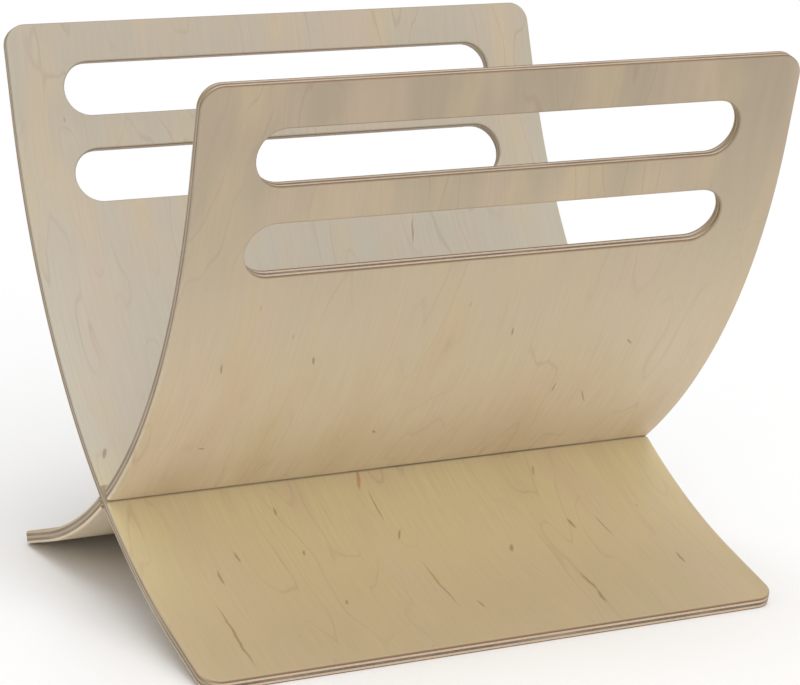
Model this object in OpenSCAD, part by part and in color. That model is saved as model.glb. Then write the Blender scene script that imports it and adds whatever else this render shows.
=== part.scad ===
// Magazine rack of two bent plywood sheets that cross in a halving joint.
// Frame: X runs along the rack, +Y to the rear, +Z up.
// Origin: centre of the footprint, on the floor.
// Both sheets are the same part: the front one is the rear one turned half a turn about Z.

/* [Rack] */
// Length of both sheets, along the crossing line
rack_l = 370; // [340:5:420]
// Distance from the middle of the rack to the upper edge of each foot's tip
foot_reach = 164; // [158:0.5:170]

/* [Plywood] */
// Thickness of one veneer; a sheet has five
veneer_t = 1.6; // [1.2:0.1:2]

/* [Bend] */
// Straight length of a foot, from its tip to the start of the sweep
foot_flat = 54; // [40:1:70]
// Height sanded off the lower edge of a foot, so that it stands on a flat
foot_trim = 1; // [0.5:0.25:1.5]
// Radius of the long sweep, on the trough side
sweep_r = 388; // [370:1:400]
// Flat length from the end of the sweep to the top edge
wall_flat = 53; // [40:1:70]

/* [Hand slots] */
// Height of a hand slot
slot_h = 34; // [28:1:38]
// Length of a hand slot over its round ends
slot_l = 301; // [260:1:310]
// Top edge to the middle of the upper slot, along the sheet
slot_drop = 43; // [40:1:50]
// Upper slot to lower slot, centre to centre
slot_pitch = 56; // [50:1:62]

/* [Corners and joint] */
// Radius of the four outer corners of a sheet, seen flat
corner_r = 13; // [6:0.5:14]
// Clearance on each side of a sheet in the halving slot
joint_play = 0.3; // [0.2:0.05:0.6]

/* [Hidden] */
$fn = 360;

// Veneers in a sheet, counted from the trough side
VENEERS = 5;
sheet_t = VENEERS * veneer_t;
half_turn = 180;
// A cutter stands this far past the edge it opens
overrun = 1;

// Colours: face veneers and the core show pale long grain, cross plies show brown end grain
FACE_COLOUR = "#c9b797";
CROSS_COLOUR = "#9c7f58";
CORE_COLOUR = "#bda987";

// Each sheet starts at the foot's slope and sweeps round to the wall's. Both are slopes of a
// 7-24-25 triangle, so the sweep's centre and ends are round numbers.
FOOT_SLOPE = [0.96, 0.28];
WALL_SLOPE = [0.28, 0.96];
function degrees_of(slope) = atan2(slope.y, slope.x);
function radians(a) = a * PI / 180;

// The profile lies in the YZ plane. It is measured along the trough-side face from the foot's tip.
wall_start = foot_flat + sweep_r * radians(degrees_of(WALL_SLOPE) - degrees_of(FOOT_SLOPE));
top_edge = wall_start + wall_flat;

// Points away from the sweep's centre, where the sweep has the given slope
function outward(slope) = [slope.y, -slope.x];
foot_tip = [-foot_reach, sheet_t * FOOT_SLOPE.x - foot_trim];
foot_start = foot_tip + foot_flat * FOOT_SLOPE;
sweep_centre = foot_start - sweep_r * outward(FOOT_SLOPE);
wall_foot = sweep_centre + sweep_r * outward(WALL_SLOPE);

// Slope, as an angle, and place of the trough-side face in the sweep or on the wall
function slope_at(s) = degrees_of(FOOT_SLOPE)
    + (min(s, wall_start) - foot_flat) / radians(sweep_r);
function point_at(s) = sweep_centre
    + sweep_r * [sin(slope_at(s)), -cos(slope_at(s))]
    + max(s - wall_start, 0) * WALL_SLOPE;

// The sheets cross where their mid-thickness passes over the middle of the rack.
middle_r = sweep_r + sheet_t / 2;
cross_slope = asin(-sweep_centre.x / middle_r);
cross_z = sweep_centre.y - middle_r * cos(cross_slope);
// Slot wide enough for the other sheet, which passes through at a slant
joint_w = sheet_t * (1 + abs(cos(2 * cross_slope))) / sin(2 * cross_slope) + 2 * joint_play;

// Puts children on the trough-side face: local Y runs up the sheet, local Z out of it.
module on_face(place, angle) {
    translate([0, place.x, place.y])
        rotate([angle, 0, 0])
            children();
}

// Everything on the trough side of the surface at depth d, as an outline in the profile's plane.
// The foot's strip and the wall's strip touch the sweep's disc where the straight runs into the
// bend, so the pieces overlap and their edge is the bent line.
module trough_side(d) {
    translate(foot_start)
        rotate(degrees_of(FOOT_SLOPE))
            translate([-foot_flat - overrun, -d])
                square([foot_flat + overrun, sweep_r]);
    translate(sweep_centre)
        circle(sweep_r + d);
    translate(wall_foot)
        rotate(degrees_of(WALL_SLOPE))
            translate([0, -d])
                square([wall_flat + overrun, sweep_r]);
}

// The part of the profile's plane above the floor, between the foot's tip and the top edge
module between_ends() {
    intersection() {
        translate([-sweep_r, 0])
            square(2 * sweep_r);
        translate(foot_tip)
            rotate(degrees_of(FOOT_SLOPE))
                translate([0, -sweep_r])
                    square(2 * sweep_r);
        translate(wall_foot)
            rotate(degrees_of(WALL_SLOPE))
                translate([wall_flat - 2 * sweep_r, -sweep_r])
                    square(2 * sweep_r);
    }
}

// One whole layer of the bent sheet, from depth d0 to depth d1, before anything is cut
module layer(d0, d1) {
    rotate([90, 0, 90])
        linear_extrude(height = rack_l, center = true)
            intersection() {
                between_ends();
                difference() {
                    trough_side(d1);
                    trough_side(d0);
                }
            }
}

// Cutter for a hand slot, square to the sheet
module hand_slot() {
    straight = slot_l - slot_h;
    linear_extrude(height = 4 * sheet_t, center = true) {
        square([straight, slot_h], center = true);
        for (side = [-1, 1])
            translate([side * straight / 2, 0])
                circle(d = slot_h);
    }
}

// Cutter that rounds a corner at the origin whose wood lies towards -X and -Y
module corner_cut(r) {
    linear_extrude(height = 4 * sheet_t, center = true)
        difference() {
            translate([-r, -r])
                square(r + overrun);
            translate([-r, -r])
                circle(r);
        }
}

// Both outer corners of one end of a sheet
module end_corners() {
    for (side = [0, 1])
        mirror([side, 0, 0])
            translate([rack_l / 2, 0])
                corner_cut(corner_r);
}

// Cutter for the halving slot, from mid-length out through the +X edge
module halving_slot() {
    translate([0, 0, cross_z])
        rotate([cross_slope, 0, 0])
            translate([-joint_play, -joint_w / 2, -2 * sheet_t])
                cube([rack_l / 2 + joint_play + overrun, joint_w, 4 * sheet_t]);
}

// One veneer of a sheet that has its foot at the front; index 0 is on the trough side
module veneer(index) {
    difference() {
        layer(index * veneer_t, (index + 1) * veneer_t);
        for (row = [0, 1]) {
            middle = top_edge - slot_drop - row * slot_pitch;
            on_face(point_at(middle), slope_at(middle))
                hand_slot();
        }
        on_face(point_at(top_edge), slope_at(top_edge))
            end_corners();
        on_face(foot_tip, degrees_of(FOOT_SLOPE))
            mirror([0, 1, 0])
                end_corners();
        halving_slot();
    }
}

// The front panel is the same sheet, turned about the vertical
module turned() {
    rotate([0, 0, half_turn])
        children();
}

module rear_panel_inner_veneer() { color(FACE_COLOUR) veneer(0); }
module rear_panel_inner_cross_ply() { color(CROSS_COLOUR) veneer(1); }
module rear_panel_core_ply() { color(CORE_COLOUR) veneer(2); }
module rear_panel_outer_cross_ply() { color(CROSS_COLOUR) veneer(3); }
module rear_panel_outer_veneer() { color(FACE_COLOUR) veneer(4); }

module front_panel_inner_veneer() { color(FACE_COLOUR) turned() veneer(0); }
module front_panel_inner_cross_ply() { color(CROSS_COLOUR) turned() veneer(1); }
module front_panel_core_ply() { color(CORE_COLOUR) turned() veneer(2); }
module front_panel_outer_cross_ply() { color(CROSS_COLOUR) turned() veneer(3); }
module front_panel_outer_veneer() { color(FACE_COLOUR) turned() veneer(4); }

rear_panel_inner_veneer();
rear_panel_inner_cross_ply();
rear_panel_core_ply();
rear_panel_outer_cross_ply();
rear_panel_outer_veneer();
front_panel_inner_veneer();
front_panel_inner_cross_ply();
front_panel_core_ply();
front_panel_outer_cross_ply();
front_panel_outer_veneer();
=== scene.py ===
"""Magazine rack: two bent sheets of five-ply birch that cross in a halving joint.

Each veneer is made flat, with its slots, rounded corners and eased edges, and is then pressed
round the bend, as the plywood itself is. Lengths are in metres.
"""

import math

import bmesh
import bpy
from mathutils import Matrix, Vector


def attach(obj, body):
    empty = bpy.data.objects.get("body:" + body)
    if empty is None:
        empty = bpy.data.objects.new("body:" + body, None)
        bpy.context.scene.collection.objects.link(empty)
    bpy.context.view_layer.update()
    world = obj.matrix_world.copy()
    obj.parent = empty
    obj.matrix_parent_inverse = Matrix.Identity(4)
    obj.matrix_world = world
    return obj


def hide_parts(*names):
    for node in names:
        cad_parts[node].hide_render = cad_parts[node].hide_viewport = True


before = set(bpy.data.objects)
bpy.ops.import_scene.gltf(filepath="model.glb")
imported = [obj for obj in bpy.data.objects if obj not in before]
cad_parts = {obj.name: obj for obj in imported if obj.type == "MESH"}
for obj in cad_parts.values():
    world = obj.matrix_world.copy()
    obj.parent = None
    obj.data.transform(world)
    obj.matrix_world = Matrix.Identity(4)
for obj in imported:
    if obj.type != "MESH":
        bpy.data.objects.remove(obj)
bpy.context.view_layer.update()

MM = 0.001

# Sheet, measured flat: X along the rack, S up the sheet from the foot's tip, D out from the
# face that looks into the trough
RACK_L = 370 * MM
VENEER_T = 1.6 * MM
VENEERS = 5
SHEET_T = VENEERS * VENEER_T

# Bend: straight foot, long sweep, flat wall. The lower edge of a foot is sanded flat.
FOOT_REACH = 164 * MM
FOOT_FLAT = 54 * MM
FOOT_TRIM = 1 * MM
SWEEP_R = 388 * MM
WALL_FLAT = 53 * MM
FOOT_ANGLE = math.atan2(0.28, 0.96)
WALL_ANGLE = math.atan2(0.96, 0.28)
WALL_START = FOOT_FLAT + SWEEP_R * (WALL_ANGLE - FOOT_ANGLE)
TOP_EDGE = WALL_START + WALL_FLAT

# Hand slots and corners
SLOT_H = 34 * MM
SLOT_L = 301 * MM
SLOT_DROP = 43 * MM
SLOT_PITCH = 56 * MM
SLOTS = [TOP_EDGE - SLOT_DROP, TOP_EDGE - SLOT_DROP - SLOT_PITCH]
CORNER_R = 13 * MM
MOUTH_R = 1.5 * MM  # corners where the halving slot runs out of the side edge
ARRIS_R = 1.1 * MM  # sanded edges of the face veneers
CORNER_STEPS = 10
MOUTH_STEPS = 4
ARRIS_STEPS = 4
BEND_STEP = 6 * MM  # length of one flat strip of the bent surface
JOINT_PLAY = 0.3 * MM
SAME_PLACE = MM / 100  # points closer than this are one point
CREASE = math.radians(25)  # a sharper turn than this shows as an edge

# Centre of the sweep, as (Y, Z)
SWEEP_CENTRE = Vector((
    -FOOT_REACH + FOOT_FLAT * math.cos(FOOT_ANGLE) - SWEEP_R * math.sin(FOOT_ANGLE),
    (SHEET_T + SWEEP_R) * math.cos(FOOT_ANGLE) + FOOT_FLAT * math.sin(FOOT_ANGLE) - FOOT_TRIM))

# The sheets cross where their mid-thickness passes over the middle of the rack
CROSS_ANGLE = math.asin(-SWEEP_CENTRE.x / (SWEEP_R + SHEET_T / 2))
CROSS_S = FOOT_FLAT + SWEEP_R * (CROSS_ANGLE - FOOT_ANGLE)
JOINT_W = (SHEET_T * (1 + abs(math.cos(2 * CROSS_ANGLE))) / math.sin(2 * CROSS_ANGLE)
           + 2 * JOINT_PLAY) * SWEEP_R / (SWEEP_R + SHEET_T / 2)


def pressed(x, s, d):
    """Where a point of the flat sheet lies once the sheet is bent, foot to the front."""
    a = FOOT_ANGLE + (min(max(s, FOOT_FLAT), WALL_START) - FOOT_FLAT) / SWEEP_R
    past = max(s - WALL_START, 0) + min(s - FOOT_FLAT, 0)
    y = SWEEP_CENTRE.x + (SWEEP_R + d) * math.sin(a) + past * math.cos(a)
    z = SWEEP_CENTRE.y - (SWEEP_R + d) * math.cos(a) + past * math.sin(a)
    return Vector((x, y, max(z, 0)))


def everything(bm):
    return bm.verts[:] + bm.edges[:] + bm.faces[:]


def cut_line(bm, at, across):
    """Scores the whole flat shape along a line, so that faces end there."""
    bmesh.ops.bisect_plane(bm, geom=everything(bm), dist=MM / 1000,
                           plane_co=at, plane_no=across)


def upright(edge):
    a, b = edge.verts
    return abs(a.co.z - b.co.z) > VENEER_T / 2


def round_corners(bm, wanted, radius, steps):
    """Rounds the upright edges that wanted(x, s) picks out."""
    picked = [e for e in bm.edges if upright(e) and wanted(*e.verts[0].co.xy)]
    bmesh.ops.bevel(bm, geom=picked, offset=radius, offset_type="OFFSET", segments=steps,
                    profile=0.5, affect="EDGES", material=-1, clamp_overlap=False)


def near(a, b):
    return abs(a - b) < SAME_PLACE


def flat_veneer(index):
    """One veneer of the flat sheet with its hand slots, halving slot and round corners."""
    bm = bmesh.new()
    bmesh.ops.create_grid(bm, x_segments=1, y_segments=1, size=0.5)
    bmesh.ops.scale(bm, vec=(RACK_L, TOP_EDGE, 1), verts=bm.verts)
    bmesh.ops.translate(bm, vec=(0, TOP_EDGE / 2, index * VENEER_T), verts=bm.verts)
    slot_edges = [s + side * SLOT_H / 2 for s in SLOTS for side in (-1, 1)]
    joint_edges = [CROSS_S - JOINT_W / 2, CROSS_S + JOINT_W / 2]
    for x in (-SLOT_L / 2, -JOINT_PLAY, SLOT_L / 2):
        cut_line(bm, (x, 0, 0), (1, 0, 0))
    for s in slot_edges + joint_edges:
        cut_line(bm, (0, s, 0), (0, 1, 0))

    def is_open(face):
        x, s, _ = face.calc_center_median()
        in_slot = abs(x) < SLOT_L / 2 and any(abs(s - m) < SLOT_H / 2 for m in SLOTS)
        return in_slot or (x > 0 and abs(s - CROSS_S) < JOINT_W / 2)

    bmesh.ops.delete(bm, geom=[f for f in bm.faces if is_open(f)], context="FACES")
    spare = [e for e in bm.edges if len(e.link_faces) == 2
             and not all(near(v.co.x, -JOINT_PLAY) for v in e.verts)]
    bmesh.ops.dissolve_edges(bm, edges=spare, use_verts=False)
    skin = bmesh.ops.extrude_face_region(bm, geom=bm.faces[:], use_keep_orig=True)
    lifted = [v for v in skin["geom"] if isinstance(v, bmesh.types.BMVert)]
    bmesh.ops.translate(bm, vec=(0, 0, VENEER_T), verts=lifted)
    bmesh.ops.recalc_face_normals(bm, faces=bm.faces)

    round_corners(bm, lambda x, s: near(abs(x), RACK_L / 2)
                  and (near(s, 0) or near(s, TOP_EDGE)), CORNER_R, CORNER_STEPS)
    round_corners(bm, lambda x, s: near(abs(x), SLOT_L / 2)
                  and any(near(s, e) for e in slot_edges), SLOT_H / 2 - MM / 50, CORNER_STEPS)
    round_corners(bm, lambda x, s: near(x, RACK_L / 2)
                  and any(near(s, e) for e in joint_edges), MOUTH_R, MOUTH_STEPS)
    return bm


def in_joint(x, s):
    return -MM < x < RACK_L / 2 - MOUTH_R - MM / 10 and abs(s - CROSS_S) < JOINT_W / 2 + MM / 10


def ease_arrises(bm, index):
    """Rounds the outer edges of a face veneer and returns a layer that marks the new faces."""
    mark = bm.faces.layers.int.new("eased")
    faces_out = {0: 0.0, VENEERS - 1: SHEET_T}
    if index in faces_out:
        level = faces_out[index]
        rim = [e for e in bm.edges
               if all(near(v.co.z, level) for v in e.verts)
               and any(abs(f.normal.z) < 0.5 for f in e.link_faces)
               and not in_joint(*((e.verts[0].co + e.verts[1].co) / 2).xy)]
        made = bmesh.ops.bevel(bm, geom=rim, offset=ARRIS_R, offset_type="OFFSET",
                               segments=ARRIS_STEPS, profile=0.5, affect="EDGES",
                               material=-1, clamp_overlap=False)
        for face in made["faces"]:
            face[mark] = 1
    return mark


def note_wood(bm, across_grain):
    """Keeps each point's place in the flat sheet and how far each face cuts across the grain."""
    place = bm.verts.layers.float_vector.new("flat")
    end_grain = bm.loops.layers.float.new("end_grain")
    grain = Vector((1, 0, 0)) if across_grain else Vector((0, 1, 0))
    for v in bm.verts:
        v[place] = v.co
    for face in bm.faces:
        for loop in face.loops:
            around = sum((f.normal for f in loop.vert.link_faces
                          if f.normal.dot(face.normal) > 0.85), Vector())
            loop[end_grain] = around.normalized().dot(grain) ** 2


def crease(bm, mark):
    """Shades the bend smoothly, and keeps a clean line at each edge."""
    for face in bm.faces:
        face.smooth = True
    for edge in bm.edges:
        if len(edge.link_faces) == 2:
            a, b = edge.link_faces
            edge.smooth = a[mark] == b[mark] and edge.calc_face_angle(0) < CREASE


def press_veneer(name, index, turned, material):
    """A finished veneer, bent to its place in the rack."""
    bm = flat_veneer(index)
    mark = ease_arrises(bm, index)
    bm.normal_update()
    steps = int(TOP_EDGE / BEND_STEP)
    for s in [TOP_EDGE * i / steps for i in range(1, steps)] + [FOOT_TRIM / math.sin(FOOT_ANGLE)]:
        cut_line(bm, (0, s, 0), (0, 1, 0))
    bm.normal_update()
    note_wood(bm, index in (1, 3))
    for v in bm.verts:
        x, y, z = pressed(*v.co)
        v.co = (-x, -y, z) if turned else (x, y, z)
    bmesh.ops.recalc_face_normals(bm, faces=bm.faces)
    crease(bm, mark)
    mesh = bpy.data.meshes.new(name)
    bm.to_mesh(mesh)
    bm.free()
    piece = bpy.data.objects.new(name, mesh)
    bpy.context.scene.collection.objects.link(piece)
    mesh.materials.append(material)
    return piece


# ---------------------------------------------------------------------------- finishes

def linear(hexcode):
    """sRGB hex to the linear colour that a shader takes."""
    parts = [int(hexcode[i:i + 2], 16) / 255 for i in (1, 3, 5)]
    return [c / 12.92 if c <= 0.04045 else ((c + 0.055) / 1.055) ** 2.4 for c in parts] + [1]


def add(tree, kind, inputs=None, **settings):
    """Adds a node with its settings, and links or sets its inputs."""
    made = tree.nodes.new(kind)
    for key, value in settings.items():
        setattr(made, key, value)
    for socket, value in (inputs or {}).items():
        if isinstance(value, bpy.types.NodeSocket):
            tree.links.new(value, made.inputs[socket])
        else:
            made.inputs[socket].default_value = value
    return made


# Tones of rotary-cut birch under a clear satin lacquer. The tones that each face veneer takes
# at its tip, foot, low wall and high wall are birch made lighter or darker as painted light
# and shade: darker towards the tops of the walls, and on the rear sheet's trough side darker
# at the tip than by the crossing. PALE is lighter than real birch: it stands in for light
# that a pale floor throws back at the undersides of the feet.
CREAM = "#cbbda3"
STRAW = "#c6b188"
DEEP_STRAW = "#b8a682"
LIGHT_STRAW = "#d1c093"
MILK = "#bfb8a8"
ASH = "#b4aa99"
PALE = "#e6d4b6"
WARM_CREAM = "#d4c4a6"
TAN = "#cdb794"
GREIGE = "#9f917b"
SAPWOOD_PINK = "#c9ae97"
BARK_POCKET = "#6a5233"
RESIN = "#a8641f"
END_GRAIN = "#7a5c40"
CROSS_LONG_GRAIN = "#cdb89f"
CROSS_END_GRAIN = "#7f6242"
CORE_LONG_GRAIN = "#b3a182"
CORE_END_GRAIN = "#6a5547"
GLUE = "#6b5338"
# Colour of the painted shadow along the joint
JOINT_SHADE = "#5d4323"

# Where the tone passes from the tip to the foot, to the low wall and to the high wall; these
# changes of tone are painted light and shade
TONE_ZONES = [(0, CROSS_S), (CROSS_S - 25 * MM, CROSS_S + 45 * MM),
              (CROSS_S + 40 * MM, TOP_EDGE)]
FLAMES_PER_SWING = 13.0
FLECK_SHARE = 0.3  # share of the places that could hold a pin fleck and do
FLECK_DEPTH = 0.35
MARK_DEPTH = 0.5
GLUE_SHOWN = 0.3 * MM


def drawn_out(tree, flat, across, along, seed, detail=2.0):
    """Noise drawn out along the grain. Across and along are the size of one feature."""
    grid = add(tree, "ShaderNodeMapping",
               {"Vector": flat, "Location": (seed, seed, 0),
                "Scale": (1 / across, 1 / along, 1 / across)}).outputs[0]
    return add(tree, "ShaderNodeTexNoise",
               {"Vector": grid, "Scale": 1.0, "Detail": detail}).outputs["Fac"]


def laid_over(tree, colour, layers):
    """Lays tints over the colour one after another, each by its share."""
    for share, tint in layers:
        colour = add(tree, "ShaderNodeMix", {0: share, 6: colour, 7: linear(tint)},
                     data_type="RGBA").outputs[2]
    return colour


def lacquered(tree, colour, fibre):
    """Satin lacquer over sanded wood: a soft sheen, with the fibres just standing up."""
    rough = add(tree, "ShaderNodeMapRange", {"Value": fibre, 3: 0.42, 4: 0.56}).outputs[0]
    bump = add(tree, "ShaderNodeBump", {"Height": fibre, "Strength": 0.25,
                                        "Distance": 0.15 * MM}).outputs[0]
    shader = add(tree, "ShaderNodeBsdfPrincipled",
                 {"Base Color": colour, "Roughness": rough, "Normal": bump})
    add(tree, "ShaderNodeOutputMaterial", {"Surface": shader.outputs[0]})


def blank(name):
    """An empty material, and where the flat sheet and its end grain are read in it."""
    material = bpy.data.materials.new(name)
    material.use_nodes = True
    tree = material.node_tree
    tree.nodes.clear()
    flat = add(tree, "ShaderNodeAttribute", attribute_name="flat").outputs["Vector"]
    cut = add(tree, "ShaderNodeAttribute", attribute_name="end_grain").outputs["Fac"]
    return material, tree, flat, cut


def distance_from(tree, value, middle):
    """How far a measure lies from a line, on either side of it."""
    off = add(tree, "ShaderNodeMath", {0: value, 1: middle}, operation="SUBTRACT").outputs[0]
    return add(tree, "ShaderNodeMath", {0: off}, operation="ABSOLUTE").outputs[0]


def painted_light_and_shade_up_sheet(tree, up_sheet, tones):
    """Painted light and shade: the tone changes slowly up the sheet."""
    layers = []
    for (start, end), tone in zip(TONE_ZONES, tones):
        share = add(tree, "ShaderNodeMapRange", {"Value": up_sheet, 1: start, 2: end},
                    interpolation_type="SMOOTHSTEP").outputs[0]
        layers.append((share, tone))
    return layers


def sapwood_bands(tree, flat, seed):
    """Broad bands of pinker sapwood and of yellower wood, 30 to 60 mm wide."""
    pink = add(tree, "ShaderNodeMapRange",
               {"Value": drawn_out(tree, flat, 42 * MM, 190 * MM, seed), 1: 0.48, 2: 0.75,
                4: 0.40}).outputs[0]
    straw = add(tree, "ShaderNodeMapRange",
                {"Value": drawn_out(tree, flat, 30 * MM, 110 * MM, seed + 7), 1: 0.5, 2: 0.75,
                 4: 0.45}).outputs[0]
    return [(pink, SAPWOOD_PINK), (straw, STRAW)]


def flames(tree, flat, seed):
    """The edges of growth rings, 8 to 15 mm apart, which fade in and out."""
    rings = add(tree, "ShaderNodeMath",
                {0: drawn_out(tree, flat, 62 * MM, 300 * MM, seed + 3, 2.5),
                 1: FLAMES_PER_SWING}, operation="MULTIPLY").outputs[0]
    ring = add(tree, "ShaderNodeMath", {0: rings, 1: 0.5}, operation="PINGPONG").outputs[0]
    line = add(tree, "ShaderNodeMapRange", {"Value": ring, 1: 0.0, 2: 0.07, 3: 1.0, 4: 0.0},
               interpolation_type="SMOOTHSTEP").outputs[0]
    shown = add(tree, "ShaderNodeMapRange",
                {"Value": drawn_out(tree, flat, 55 * MM, 130 * MM, seed + 11), 1: 0.42,
                 2: 0.66, 4: 0.20}).outputs[0]
    flame = add(tree, "ShaderNodeMath", {0: line, 1: shown}, operation="MULTIPLY").outputs[0]
    soft = add(tree, "ShaderNodeMapRange", {"Value": ring, 2: 0.5, 3: 0.10, 4: 0.0}).outputs[0]
    return [(flame, BARK_POCKET), (soft, SAPWOOD_PINK)]


def pin_flecks(tree, flat, seed):
    """Short brown dashes, each in its own 12 by 40 mm of the sheet."""
    grid = add(tree, "ShaderNodeMapping",
               {"Vector": flat, "Location": (seed, 0, 0),
                "Scale": (1 / (12 * MM), 1 / (40 * MM), 1)}).outputs[0]
    cell = add(tree, "ShaderNodeTexVoronoi", {"Vector": grid, "Scale": 1.0}).outputs
    dash = add(tree, "ShaderNodeMapRange",
               {"Value": cell["Distance"], 1: 0.02, 2: 0.06, 3: 1.0, 4: 0.0}).outputs[0]
    few = add(tree, "ShaderNodeSeparateColor", {0: cell["Color"]}).outputs[0]
    few = add(tree, "ShaderNodeMath", {0: few, 1: FLECK_SHARE},
              operation="LESS_THAN").outputs[0]
    fleck = add(tree, "ShaderNodeMath", {0: dash, 1: few}, operation="MULTIPLY").outputs[0]
    fleck = add(tree, "ShaderNodeMath", {0: fleck, 1: FLECK_DEPTH},
                operation="MULTIPLY").outputs[0]
    return [(fleck, BARK_POCKET)]


def marks_on(tree, marks, wander):
    """How strongly each place is marked. A mark is (x, s, half length, half width, tilt)
    in mm and degrees, and its line wanders a little."""
    total = None
    for x, s, long, wide, tilt in marks:
        at = add(tree, "ShaderNodeMapping",
                 {"Vector": wander, "Location": (x * MM, s * MM, 0),
                  "Rotation": (0, 0, math.radians(-tilt)),
                  "Scale": (wide * MM, long * MM, 1)}, vector_type="TEXTURE").outputs[0]
        spot = add(tree, "ShaderNodeTexGradient", {"Vector": at},
                   gradient_type="SPHERICAL").outputs["Fac"]
        total = spot if total is None else add(tree, "ShaderNodeMath", {0: total, 1: spot},
                                               operation="MAXIMUM").outputs[0]
    return add(tree, "ShaderNodeMapRange", {"Value": total, 2: 0.45}).outputs[0]


def pockets_and_resin(tree, flat, pockets, resin):
    """The veneer's own bark pockets and resin streaks, each at its place."""
    drift = add(tree, "ShaderNodeTexNoise", {"Vector": flat, "Scale": 90.0}).outputs["Color"]
    wander = add(tree, "ShaderNodeVectorMath", {0: drift, 1: (0.5, 0.5, 0.5)},
                 operation="SUBTRACT").outputs[0]
    wander = add(tree, "ShaderNodeVectorMath", {0: wander, 1: (3 * MM, 0, 0)},
                 operation="MULTIPLY").outputs[0]
    wander = add(tree, "ShaderNodeVectorMath", {0: wander, 1: flat}).outputs[0]
    layers = []
    for tint, group in ((BARK_POCKET, pockets), (RESIN, resin)):
        if group:
            share = add(tree, "ShaderNodeMath",
                        {0: marks_on(tree, group, wander), 1: MARK_DEPTH},
                        operation="MULTIPLY").outputs[0]
            layers.append((share, tint))
    return layers


def painted_joint_shadow(tree, up_sheet):
    """Painted shadow: a dark line along the edges where the other sheet comes through."""
    seam = add(tree, "ShaderNodeMapRange",
               {"Value": distance_from(tree, up_sheet, CROSS_S), 1: JOINT_W / 2 + 0.2 * MM,
                2: JOINT_W / 2 + 1.3 * MM, 3: 0.5, 4: 0.0}).outputs[0]
    return [(seam, JOINT_SHADE)]


def face_veneer(name, tones, pockets, resin, seed):
    """Rotary-cut birch, sanded and lacquered: pale and silky, with faint flames, pin flecks
    and bark pockets. The tones are those at the tip, in the foot, above the crossing and at
    the top edge; the changes between them are painted light and shade."""
    material, tree, flat, cut = blank(name)
    up_sheet = add(tree, "ShaderNodeSeparateXYZ", {0: flat}).outputs["Y"]
    # Silky fibres: streaks about 2 mm wide, drawn coarser than the real fibres so they show
    fibre = drawn_out(tree, flat, 1.6 * MM, 45 * MM, seed + 1, 3.0)
    streaks = add(tree, "ShaderNodeMapRange", {"Value": fibre, 1: 0.35, 2: 0.75, 4: 0.16})
    # Painted light and shade: the tone lightens or darkens up the sheet
    layers = painted_light_and_shade_up_sheet(tree, up_sheet, tones[1:])
    layers += sapwood_bands(tree, flat, seed)
    layers += flames(tree, flat, seed)
    layers += [(streaks.outputs[0], GREIGE)]
    layers += pin_flecks(tree, flat, seed)
    layers += pockets_and_resin(tree, flat, pockets, resin)
    # Painted shadow along the edges of the joint
    layers += painted_joint_shadow(tree, up_sheet)
    # Ends of the grain drink the lacquer and go brown
    layers += [(cut, END_GRAIN)]
    lacquered(tree, laid_over(tree, linear(tones[0]), layers), fibre)
    return material


def sawn_ply(name, long_grain, end_grain, index, seed):
    """The sawn and sanded edge of an inner ply: a light stripe along the grain and a brown
    one across it, with a thin glue line on each side."""
    material, tree, flat, cut = blank(name)
    grain = drawn_out(tree, flat, 2.5 * MM, 2.5 * MM, seed, 3.0)
    mottle = add(tree, "ShaderNodeMapRange", {"Value": grain, 1: 0.35, 2: 0.7, 4: 0.35})
    band = drawn_out(tree, flat, 60 * MM, 60 * MM, seed + 5)
    paler = add(tree, "ShaderNodeMapRange", {"Value": band, 1: 0.45, 2: 0.7, 4: 0.35})
    depth = add(tree, "ShaderNodeSeparateXYZ", {0: flat}).outputs["Z"]
    glue = add(tree, "ShaderNodeMapRange",
               {"Value": distance_from(tree, depth, (index + 0.5) * VENEER_T),
                1: VENEER_T / 2 - GLUE_SHOWN, 2: VENEER_T / 2, 4: 0.5}).outputs[0]
    layers = [(cut, end_grain), (mottle.outputs[0], GREIGE), (paler.outputs[0], CREAM),
              (glue, GLUE)]
    lacquered(tree, laid_over(tree, linear(long_grain), layers), grain)
    return material


# Bark pockets: x and s of the middle, half length, half width (mm), tilt from the grain
REAR_TROUGH_MARKS = [
    (-151.5, 39.5, 36, 0.9, 1), (-139.4, 95.5, 8, 1.0, 1), (-123, 111.5, 6, 0.8, -6),
    (-86, 145.5, 4, 0.9, 3), (-13.3, 61.5, 28, 0.7, -3), (-16.7, 112.5, 6, 0.9, 25),
    (-82, 107.5, 3, 0.9, 20), (-21.6, 139.5, 16, 0.6, 0), (96, 101.5, 6, 1.4, -7),
    (47, 86.5, 4.5, 1.5, 18), (77.4, 42.5, 12, 1.0, -4), (77.4, 26.5, 8, 1.3, 7),
    (147.4, 53.5, 8, 1.0, 1), (93, 152.5, 5, 0.8, 15), (115.6, 95.5, 13, 0.6, -7),
    (1.8, 36, 5, 0.8, -10), (73, 343.5, 11, 0.8, 16), (-176, 206.5, 5, 1.3, 20),
    (-75.4, 57, 3, 1.0, 16)]
REAR_TROUGH_RESIN = [(-24.1, 162.9, 10, 1.6, 18)]
FRONT_OUTER_MARKS = [
    (93, 315.5, 4, 1.0, 10), (149, 316.5, 5, 0.8, 11), (31, 237.5, 2.5, 1.0, 30),
    (143, 241, 3, 1.1, 74), (-33, 323, 4, 0.8, 6), (-118, 303.5, 4, 0.8, 44),
    (-80, 265.1, 6, 0.7, 3), (-106, 252.1, 9, 0.6, 29)]
OTHER_MARKS = [(60, 291.5, 9, 0.8, 4), (-110, 81.5, 7, 1.0, -5), (-40, 401.5, 5, 1.2, 12),
               (120, 141.5, 12, 0.7, -3)]

# The four tones of each face veneer (tip, foot, low wall, high wall) carry painted light and
# shade
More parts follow.
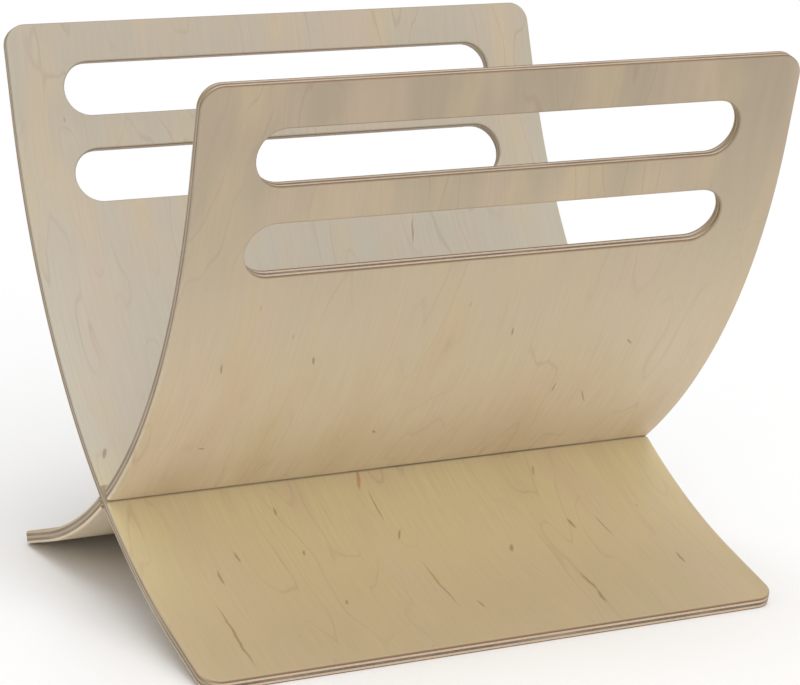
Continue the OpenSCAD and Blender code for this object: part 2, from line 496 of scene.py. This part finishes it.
VENEERS_IN = {
    "rear_panel_inner_veneer": face_veneer(
        "birch_veneer_rear_trough_side", [DEEP_STRAW, LIGHT_STRAW, MILK, ASH],
        REAR_TROUGH_MARKS, REAR_TROUGH_RESIN, 2.0),
    "rear_panel_outer_veneer": face_veneer(
        "birch_veneer_rear_outside", [PALE, PALE, TAN, GREIGE], OTHER_MARKS, [], 31.0),
    "front_panel_inner_veneer": face_veneer(
        "birch_veneer_front_trough_side", [STRAW, CREAM, MILK, ASH], OTHER_MARKS, [], 47.0),
    "front_panel_outer_veneer": face_veneer(
        "birch_veneer_front_outside", [PALE, PALE, WARM_CREAM, GREIGE], FRONT_OUTER_MARKS, [],
        63.0)}
# The plies of a sheet from the trough side out, with the material slot of each
PLIES = [("inner_veneer", "face_veneer"), ("inner_cross_ply", "cross_ply"),
         ("core_ply", "core_ply"), ("outer_cross_ply", "cross_ply"),
         ("outer_veneer", "face_veneer")]
INNER_PLY_GRAIN = {"cross_ply": (CROSS_LONG_GRAIN, CROSS_END_GRAIN),
                   "core_ply": (CORE_LONG_GRAIN, CORE_END_GRAIN)}


def ply_material(node, slot, index, turned):
    """The finish of one node: its own face veneer, or a sawn inner ply."""
    if node in VENEERS_IN:
        return VENEERS_IN[node]
    seed = 5.0 * index + (90.0 if turned else 0.0)
    return sawn_ply("birch_sawn_" + node, *INNER_PLY_GRAIN[slot], index, seed)


for panel, turned in (("rear_panel", False), ("front_panel", True)):
    for index, (ply, slot) in enumerate(PLIES):
        node = f"{panel}_{ply}"
        material = ply_material(node, slot, index, turned)
        piece = press_veneer("pressed_" + node, index, turned, material)
        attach(piece, "root")
        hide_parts(node)

# ---------------------------------------------------------------------------- studio

SKY_LEVEL = 0.44
SOFTBOX_SPREAD = math.radians(60)
SOFTBOX_LEVEL = 0.3  # what a white surface square to one softbox shows
SOFTBOXES = {"overhead": (0, 0, 1), "front_top": (0, -0.65, 0.75), "front": (-0.25, -0.95, 0.2)}


def studio():
    """A pale paper floor under a soft sky and three broad softboxes."""
    bpy.ops.mesh.primitive_plane_add(size=60)
    floor = bpy.context.object
    floor.name = "studio_floor"
    paper = bpy.data.materials.new("studio_paper")
    paper.use_nodes = True
    shader = paper.node_tree.nodes["Principled BSDF"]
    shader.inputs["Base Color"].default_value = (0.97, 0.97, 0.97, 1)
    shader.inputs["Roughness"].default_value = 0.9
    shader.inputs["Specular IOR Level"].default_value = 0.0
    floor.data.materials.append(paper)

    scene = bpy.context.scene
    scene.view_settings.view_transform = "Standard"
    world = bpy.data.worlds.new("studio")
    world.use_nodes = True
    backdrop = world.node_tree.nodes["Background"].inputs
    backdrop["Color"].default_value = (1, 1, 1, 1)
    backdrop["Strength"].default_value = SKY_LEVEL
    scene.world = world
    for name, towards in SOFTBOXES.items():
        lamp = bpy.data.lights.new(name, "SUN")
        lamp.energy = math.pi * SOFTBOX_LEVEL
        lamp.angle = SOFTBOX_SPREAD
        box = bpy.data.objects.new(name, lamp)
        box.rotation_euler = Vector(towards).to_track_quat("Z", "Y").to_euler()
        scene.collection.objects.link(box)


EYE = Vector((-697.9, -1488.8, 507.7)) * MM
LOOKS_RIGHT = math.radians(25.45)
LOOKS_DOWN = math.radians(12.34)


def camera():
    """A long lens a little above the rack, to the left of its middle."""
    lens = bpy.data.cameras.new("camera")
    lens.lens = 122.8
    lens.sensor_width = 36
    lens.clip_end = 100
    eye = bpy.data.objects.new("camera", lens)
    eye.location = EYE
    eye.rotation_euler = (math.pi / 2 - LOOKS_DOWN, 0, -LOOKS_RIGHT)
    bpy.context.scene.collection.objects.link(eye)
    bpy.context.scene.camera = eye


studio()
camera()
